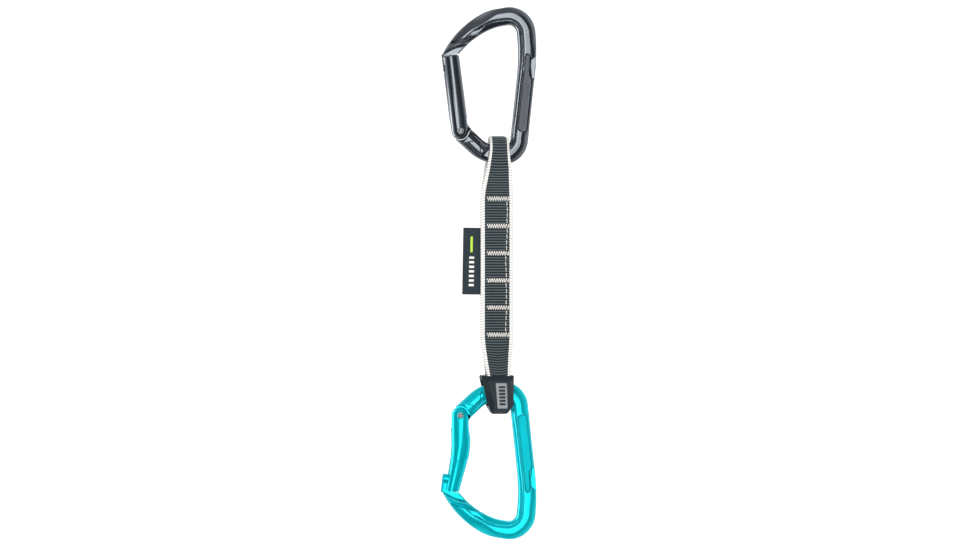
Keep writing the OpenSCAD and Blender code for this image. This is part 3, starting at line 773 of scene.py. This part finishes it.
def travel_threads(radius):
    """Running stitches between the tacks: short arched lengths of thread that dip into the webbing."""
    shapes = []
    for i in range(TACKS - 1):
        top = TACK_FIRST - TACK_PITCH * i - TACK_H / 2
        bottom = TACK_FIRST - TACK_PITCH * (i + 1) + TACK_H / 2
        count = 4
        for j in range(count):
            a, b = top + (bottom - top) * (j + 0.08) / count, top + (bottom - top) * (j + 0.86) / count
            q = np.linspace(0, 1, 12)
            arch = np.sin(pi * q) ** 0.6
            for face in (-1, 1):
                x = 5.1 + 0.25 * np.sin(2.1 * i + j) - (0.5 if i > 1 else 0) + 0.12 * (q - 0.5)
                path = np.stack([x, face * (WEB_T - 0.2 + 0.28 * arch), a + (b - a) * q], 1)
                shapes.append(tube(upper(path), radius, 6))
    return shapes


def folded_label():
    """Folded tab: out from between the plies, round a fold, and back, leaning a little as it hangs."""
    gap, t = 0.15, 0.24
    fold = np.linspace(pi / 2, -pi / 2, 14)
    x0, x1 = -21.85, -6.4
    out_x = np.linspace(x1, x0 + 0.4, 22)
    line = lambda r: np.vstack([np.stack([out_x, np.full(22, -r)], 1),
                                np.stack([x0 + 0.4 - r * np.cos(fold), -r * np.sin(fold)], 1),
                                np.stack([out_x[::-1], np.full(22, r)], 1)])
    ring = np.vstack([line(gap + t), line(gap)[::-1]])
    n = len(ring) // 2
    along = np.r_[np.linspace(0, 1, n), np.linspace(1, 0, n)]
    k = np.linspace(0, 1, 40)[:, None]
    free = ramp(-ring[:, 0], 10.5, 14)[None]
    x = ring[:, 0][None] - 0.7 * k * free
    y = ring[:, 1][None] + free * 0.12 * np.sin(2.6 * pi * k + 0.6) * 0.3
    z = LABEL_TOP - 0.05 - (LABEL_H - 0.1) * k - free * 0.012 * (ring[:, 0][None] + 11)
    uv = np.stack([0.5 - np.broadcast_to(along, x.shape), np.broadcast_to(k, x.shape)], -1)
    uv = np.concatenate([uv, uv[:, :1]], 1)
    return outward(sheet_of(upper(np.stack([x, y, z], -1)), uv=uv))


# ---- Reshaped frame solids --------------------------------------------------------------------
def slimmer(share, start, bend, fuller_inside=0.0):
    """Draws a gate's outer side in towards its middle by a share, more and more from a start height to
    60 mm. Its middle turns from upright at 14 mm to the line to the nose at the bend height. Only the lower
    gate is fuller inside."""
    def reshape(p):
        q = p + np.array([APEX[0], 0, APEX[1]])
        if fuller_inside:
            q = (q + np.array([0, 0, SLING_LEN])) * np.array([1, -1, -1])
        slope = (NOSE_TIP[0] - HINGE[0]) / (NOSE_TIP[1] - HINGE[1])
        off = q[:, 0] - (HINGE[0] + (q[:, 2] - HINGE[1]) * slope * ramp(q[:, 2], 14, bend))
        moved = p.copy()
        moved[:, 0] -= np.minimum(off, 0) * share * ramp(q[:, 2], start, 60)
        swell = fuller_inside * ramp(q[:, 2], 22, 27) * (1 - ramp(q[:, 2], 38, 54))
        moved[:, 0] += np.maximum(off, 0) * swell
        return moved
    return reshape


def fuller(p):
    """Widens the bevels round both faces of the guard and lets its lower corner beside the gate stand out."""
    x, z = p[:, 0] + APEX[0], p[:, 2] + APEX[1] + SLING_LEN
    face = np.abs(p[:, 1]) > GUARD_DEPTH - 0.3
    moved = p.copy()
    moved[:, 0] -= 0.9 * ramp(-z, 5.0, 12.5) * ramp(-x, 1.0, 3.5)
    moved[:, 0] += face * (2.6 * (x < -4) - 0.9 * (x > 5.5))
    moved[:, 2] -= face * 1.7 * (z > 7)
    return moved


# ---- Settings ---------------------------------------------------------------------------------
def tint(name, text, default):
    return FloatVectorProperty(name=name, description=text, default=default, size=3, min=0, max=1,
                               subtype="COLOR")


class QuickdrawMetalSettings(bpy.types.PropertyGroup):
    """Forging and colours of the two carabiners"""
    relief: FloatProperty(name="Relief", description="Depth of the forged grooves and pocket, as a share",
                          default=1.0, min=0, max=1.3, subtype="FACTOR")
    top_colour: tint("Upper anodising", "Colour of the upper carabiner", (0.29, 0.318, 0.35))
    low_colour: tint("Lower anodising", "Colour of the lower carabiner", (0.0, 0.76, 0.87))


class QuickdrawSlingSettings(bpy.types.PropertyGroup):
    """Weave, thread, label and guard of the sling"""
    rib_pitch: FloatProperty(name="Rib pitch", description="Length of one rib", default=0.00166,
                             min=0.001, max=0.004, precision=5, unit="LENGTH", subtype="DISTANCE")
    rib_height: FloatProperty(name="Rib height", description="Height of a rib", default=0.00022,
                              min=0, max=0.0005, precision=5, unit="LENGTH", subtype="DISTANCE")
    zigs: IntProperty(name="Zigzags", description="Zigzags in one bar tack", default=9, min=5, max=20)
    thread_d: FloatProperty(name="Thread", description="Thickness of the sewing thread", default=0.00046,
                            min=0.0002, max=0.001, precision=5, unit="LENGTH", subtype="DISTANCE")
    web_colour: tint("Webbing", "Colour of the middle of the webbing", (0.012, 0.021, 0.026))
    # Colour of the painted highlight on the rib tops.
    rib_highlight_colour: tint("Rib tops", "Colour of the tops of the ribs", (0.13, 0.165, 0.18))
    edge_colour: tint("Edges", "Colour of the woven edges", (0.80, 0.79, 0.76))
    thread_colour: tint("Thread colour", "Colour of the sewing thread", (0.86, 0.82, 0.76))
    label_colour: tint("Label", "Ground colour of the label", (0.012, 0.025, 0.034))
    mark_colour: tint("Label bar", "Colour of the bar on the label", (0.42, 0.66, 0.05))
    rubber_colour: tint("Guard", "Colour of the rubber guard", (0.009, 0.016, 0.021))
    badge_colour: tint("Badge", "Colour of the plate in the guard", (0.27, 0.29, 0.31))


# ---- Operators --------------------------------------------------------------------------------
def metal():
    return bpy.context.scene.quickdraw_metal


def sling():
    return bpy.context.scene.quickdraw_sling


def finish(name, build, *args):
    """The material of that name, made once."""
    return bpy.data.materials.get(name) or build(name, *args)


def graphite():
    return finish("Dark anodising", anodised_metal, tuple(metal().top_colour), 1.0, 0.17)


def teal():
    return finish("Teal anodising", anodised_metal, tuple(metal().low_colour), 0.70, 0.19)


class QUICKDRAW_OT_bodies(bpy.types.Operator):
    """Make the two forged carabiner bodies"""
    bl_idname = "quickdraw.bodies"
    bl_label = "Carabiner bodies"

    def execute(self, context):
        for name, node, slot, metal_of, place, lean, swing, hook in (
            ("upper", "top_frame", "dark_anodised", graphite, upper, GATE_LEAN, 28.0, 5.3),
            ("lower", "bottom_frame", "teal_anodised", teal, lower, 0.0, 26.0, 5.8),
        ):
            bar, rub_and_shade = forged_bar(metal().relief, lean, swing)
            outline, levels = tang_plate(lean)
            shapes = [bar, plate(outline, levels, lambda q: q), nose_hook(hook)]
            shapes = [placed(shape, place) for shape in shapes]
            make(f"{name}_body", shapes, metal_of(), f"{name}_carabiner", slot, (node,), 32, rub_and_shade)
        return {"FINISHED"}


class QUICKDRAW_OT_gates(bpy.types.Operator):
    """Make the straight gate and the bent gate with softened edges"""
    bl_idname = "quickdraw.gates"
    bl_label = "Gates"

    def execute(self, context):
        softened("straight_gate", "top_gate", graphite(), "upper_gate", "dark_anodised", 0.22,
                 slimmer(0.06, 42, 20))
        softened("bent_gate", "bottom_gate", teal(), "lower_gate", "teal_anodised", 0.22,
                 slimmer(0.42, 22, 58, 0.16))
        return {"FINISHED"}


class QUICKDRAW_OT_rivets(bpy.types.Operator):
    """Make the two gate rivets and finish the springs and plungers"""
    bl_idname = "quickdraw.rivets"
    bl_label = "Rivets and inner parts"

    def execute(self, context):
        bright = finish("Rivet steel", steel)
        half = [(0.35, 5.22), (0.62, 5.24), (0.86, 5.52), (1.12, 5.68), (1.45, 5.62), (1.76, 5.40),
                (1.93, 5.12), (1.86, 5.0), (1.58, 4.96)]
        profile = half + [(r, -y) for r, y in half[::-1]]
        for name, node, body, place in (("upper_rivet_pin", "top_rivet", "upper_gate", upper),
                                        ("lower_rivet_pin", "bottom_rivet", "lower_gate", lower)):
            v, f, u = lathe(profile)
            make(name, [placed((v + PIVOT, f, u), place)], bright, body, "rivet_steel", (node,), 50)
        for name, node, body, place, tilt, joint, keep in (
            ("upper_gate_spring", "top_spring", "upper_gate", upper, GATE_LEAN, "straight_gate_hinge", 0.785),
            ("lower_gate_spring", "bottom_spring", "lower_gate", lower, 0.0, "bent_gate_hinge", 0.80),
        ):
            along = np.array([-sin(tilt), 0, cos(tilt)])
            base, top = place(PIVOT), place(PIVOT + along * SPRING_TOP)
            spring = make(name, [placed(coil_spring(tilt), place)], bright, body, "spring_steel", (node,), 80)
            axis = (top - base) / np.linalg.norm(top - base)
            tuple(top * MM)
            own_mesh(spring)
        for node in ("top_plunger", "bottom_plunger"):
            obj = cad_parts[node]
            if not obj.material_slots:
                obj.data.materials.append(bright)
            obj.material_slots[0].material = bright
        return {"FINISHED"}


class QUICKDRAW_OT_webbing(bpy.types.Operator):
    """Weave the sling's webbing"""
    bl_idname = "quickdraw.webbing"
    bl_label = "Webbing"

    def execute(self, context):
        g = sling()
        colours = (tuple(c) for c in (g.web_colour, g.rib_highlight_colour, g.edge_colour))
        weave = finish("Webbing weave", web_weave, *colours)
        v, f, u = webbing_strip(g.rib_pitch / MM, g.rib_height / MM)
        make("sling_webbing", [(upper(v), f, u)], weave, "sling", "webbing", ("webbing_loop",), 60)
        return {"FINISHED"}


class QUICKDRAW_OT_stitching(bpy.types.Operator):
    """Sew the bar tacks and the running stitches"""
    bl_idname = "quickdraw.stitching"
    bl_label = "Stitching"

    def execute(self, context):
        g = sling()
        thread = finish("Sewing thread", sewing_thread, tuple(g.thread_colour))
        radius = g.thread_d / MM / 2
        for i in range(TACKS):
            make(f"tack_threads_{i + 1}", tack_threads(i, g.zigs, radius), thread, "sling", "thread",
                 (f"bar_tack_{i + 1}",), 80)
        running = travel_threads(radius * 0.9)
        make("running_threads", running, thread, "sling", "thread", ("travel_stitch",), 80)
        return {"FINISHED"}


class QUICKDRAW_OT_label(bpy.types.Operator):
    """Fold the side label"""
    bl_idname = "quickdraw.label"
    bl_label = "Side label"

    def execute(self, context):
        g = sling()
        colours = (tuple(c) for c in (g.label_colour, g.mark_colour, g.edge_colour))
        cloth = finish("Label weave", woven_label, *colours)
        label = make("folded_label", [folded_label()], cloth, "sling", "label_fabric", ("side_label",), 40)
        return {"FINISHED"}


class QUICKDRAW_OT_guard(bpy.types.Operator):
    """Mould the rubber guard and set its badge"""
    bl_idname = "quickdraw.guard"
    bl_label = "Rubber guard"

    def execute(self, context):
        g = sling()
        rubber = finish("Guard rubber", moulded_rubber, tuple(g.rubber_colour))
        softened("rubber_guard", "string_guard", rubber, "sling", "guard_rubber", 0.35, fuller, 20)
        satin = finish("Badge plastic", badge_finish, tuple(g.badge_colour))
        seat = lambda q: upper(q - np.array([0, 0, SLING_LEN]))
        y = -GUARD_DEPTH
        outline = rounded([(-2.7, 5.7, 0.5), (4.2, 5.7, 0.5), (4.7, -9.9, 0.5), (-1.55, -9.9, 0.5)], True, 6)
        shapes = [plate(outline, [(0, y + 0.6), (0, y - 0.25), (0.15, y - 0.38), (0.45, y - 0.4)], seat)]
        bars = []
        for k in range(6):
            z1 = 3.9 - 2.1 * k
            x0, x1 = -0.9 + 0.12 * k, 3.1 + 0.06 * k
            bar = rounded([(x0, z1, 0.3), (x1, z1, 0.3), (x1, z1 - 1.3, 0.3), (x0, z1 - 1.3, 0.3)], True, 5)
            bars.append(plate(bar, [(0, y - 0.3), (0, y - 0.5), (0.14, y - 0.58)], seat))
        make("badge_bars", bars, rubber, "sling", "guard_rubber", (), 35)
        make("badge_plate", shapes, satin, "sling", "badge_plastic", ("guard_badge",), 35)
        return {"FINISHED"}


class QUICKDRAW_OT_stage(bpy.types.Operator):
    """Set the pale sweep, the soft lights and the camera"""
    bl_idname = "quickdraw.stage"
    bl_label = "Stage"

    def execute(self, context):
        scene = context.scene
        wall = rounded([(-4.0, -0.62, 0), (2.6, -0.62, 1.2), (2.6, 4.0, 0)], n=24)
        xs = np.linspace(-4, 4, 9)
        grid = np.stack(np.broadcast_arrays(xs[None], wall[:, :1], wall[:, 1:]), -1)
        verts, faces, _ = sheet_of(grid, wrap_cols=False, caps=False)
        mesh = bpy.data.meshes.new("studio_sweep")
        mesh.from_pydata(verts, [], faces)
        mesh.polygons.foreach_set("use_smooth", np.ones(len(faces), bool))
        sweep = bpy.data.objects.new("studio_sweep", mesh)
        sweep.visible_glossy = False
        scene.collection.objects.link(sweep)
        mesh.materials.append(studio_white("Studio white"))

        aim = np.array([-0.0125, 0.0, -0.1546])
        lights = (  # name, azimuth, elevation, distance, width, height, watts, seen in reflections
            ("Front softbox", -25, 25, 1.3, 1.0, 1.0, 11.5, False),
            ("Right softbox", 50, 15, 1.3, 0.8, 1.2, 5.0, False),
            ("Top softbox", 0, 75, 1.1, 1.0, 0.8, 3.5, False),
            ("Back softbox", 165, 20, 1.3, 1.0, 1.0, 8.0, False),
            ("Front strip", -1, 0, 1.30, 0.44, 1.1, 3.1, True),
            ("Left rim strip", -112, 0, 1.1, 0.35, 1.8, 5.0, True),
            ("Crown glow", 0, 58, 1.10, 1.2, 0.9, 0.55, True),
            ("Back strip", 172, 0, 1.3, 0.5, 1.7, 3.5, True),
        )
        for name, az, el, far, wide, high, watts, mirrored in lights:
            lamp = bpy.data.lights.new(name, "AREA")
            lamp.shape, lamp.size, lamp.size_y, lamp.energy = "RECTANGLE", wide, high, watts
            obj = bpy.data.objects.new(name, lamp)
            obj.visible_glossy, obj.visible_diffuse, obj.visible_camera = mirrored, not mirrored, False
            scene.collection.objects.link(obj)
            place_at(obj, aim, az, el, far)
        camera = bpy.data.objects.new("Camera", bpy.data.cameras.new("Camera"))
        camera.data.lens, camera.data.sensor_width, camera.data.clip_end = 85, 36, 20
        scene.collection.objects.link(camera)
        place_at(camera, aim, -6, 0, 1.431)
        scene.camera = camera
        scene.view_settings.view_transform = "Standard"
        light_the_world(scene)
        return {"FINISHED"}


def light_the_world(scene):
    """White to the eye, soft grey as fill, and in reflections dark before the object and bright behind it."""
    world = scene.world or bpy.data.worlds.new("Studio")
    scene.world = world
    world.use_nodes = True
    tree = world.node_tree
    tree.nodes.clear()
    new, link = tree.nodes.new, tree.links.new
    kinds = ("OutputWorld", "LightPath", "TexCoord", "SeparateXYZ")
    out, ray, at, parts = (new("ShaderNode" + kind) for kind in kinds)
    ramp_node = new("ShaderNodeValToRGB")
    spread = new("ShaderNodeMapRange")
    spread.inputs["From Min"].default_value = -1
    link(at.outputs["Generated"], parts.inputs[0])
    link(parts.outputs["Y"], spread.inputs["Value"])
    link(spread.outputs[0], ramp_node.inputs[0])
    stops = ((0.0, 0.20), (0.08, 0.075), (0.34, 0.065), (0.52, 0.50), (0.66, 0.85), (0.86, 0.6), (1.0, 0.35))
    stop_list = ramp_node.color_ramp.elements
    while len(stop_list) < len(stops):
        stop_list.new(0.5)
    for element, (place, grey) in zip(stop_list, stops):
        cool = 0.14 if grey < 0.2 else 0.0
        element.position, element.color = place, (grey * (1 - cool), grey, grey * (1 + cool), 1)
    skies = []
    for grey in (1.0, 0.30, None):
        sky = new("ShaderNodeBackground")
        if grey is None:
            link(ramp_node.outputs[0], sky.inputs[0])
            square, less = new("ShaderNodeMath"), new("ShaderNodeMath")
            square.operation, less.operation = "POWER", "MULTIPLY_ADD"
            link(parts.outputs["Z"], square.inputs[0])
            square.inputs[1].default_value = 2.0
            link(square.outputs[0], less.inputs[0])
            less.inputs[1].default_value, less.inputs[2].default_value = -0.35, 1.0
            link(less.outputs[0], sky.inputs[1])
        else:
            sky.inputs[0].default_value = (grey, grey, grey, 1)
        skies.append(sky.outputs[0])
    shown = skies[1]
    for ray_kind, sky in (("Is Glossy Ray", skies[2]), ("Is Camera Ray", skies[0])):
        mix = new("ShaderNodeMixShader")
        link(ray.outputs[ray_kind], mix.inputs[0])
        link(shown, mix.inputs[1])
        link(sky, mix.inputs[2])
        shown = mix.outputs[0]
    link(shown, out.inputs[0])


def place_at(obj, aim, azimuth, elevation, distance):
    """Stands an object off a point by azimuth, elevation and distance, looking at it."""
    a, e = radians(azimuth), radians(elevation)
    away = Vector((sin(a) * cos(e), -cos(a) * cos(e), sin(e)))
    obj.location = Vector(aim) + away * distance
    obj.rotation_euler = away.to_track_quat("Z", "Y").to_euler()


STEPS = (QUICKDRAW_OT_bodies, QUICKDRAW_OT_gates, QUICKDRAW_OT_rivets, QUICKDRAW_OT_webbing,
         QUICKDRAW_OT_stitching, QUICKDRAW_OT_label, QUICKDRAW_OT_guard, QUICKDRAW_OT_stage)


class QUICKDRAW_PT_build(bpy.types.Panel):
    """Lists the steps that build the quickdraw"""
    bl_idname = "QUICKDRAW_PT_build"
    bl_label = "Climbing quickdraw"
    bl_space_type = "VIEW_3D"
    bl_region_type = "UI"
    bl_category = "Quickdraw"

    def draw(self, context):
        for group in (metal(), sling()):
            for name in group.__annotations__:
                self.layout.prop(group, name)
        for step in STEPS:
            self.layout.operator(step.bl_idname)


CLASSES = (QuickdrawMetalSettings, QuickdrawSlingSettings, *STEPS, QUICKDRAW_PT_build)


def register():
    for cls in CLASSES:
        bpy.utils.register_class(cls)
    bpy.types.Scene.quickdraw_metal = PointerProperty(type=QuickdrawMetalSettings)
    bpy.types.Scene.quickdraw_sling = PointerProperty(type=QuickdrawSlingSettings)


def unregister():
    del bpy.types.Scene.quickdraw_metal, bpy.types.Scene.quickdraw_sling
    for cls in reversed(CLASSES):
        bpy.utils.unregister_class(cls)


def main():
    register()
    for step in STEPS:
        group, name = step.bl_idname.split(".")
        getattr(getattr(bpy.ops, group), name)()


if __name__ == "__main__":
    main()
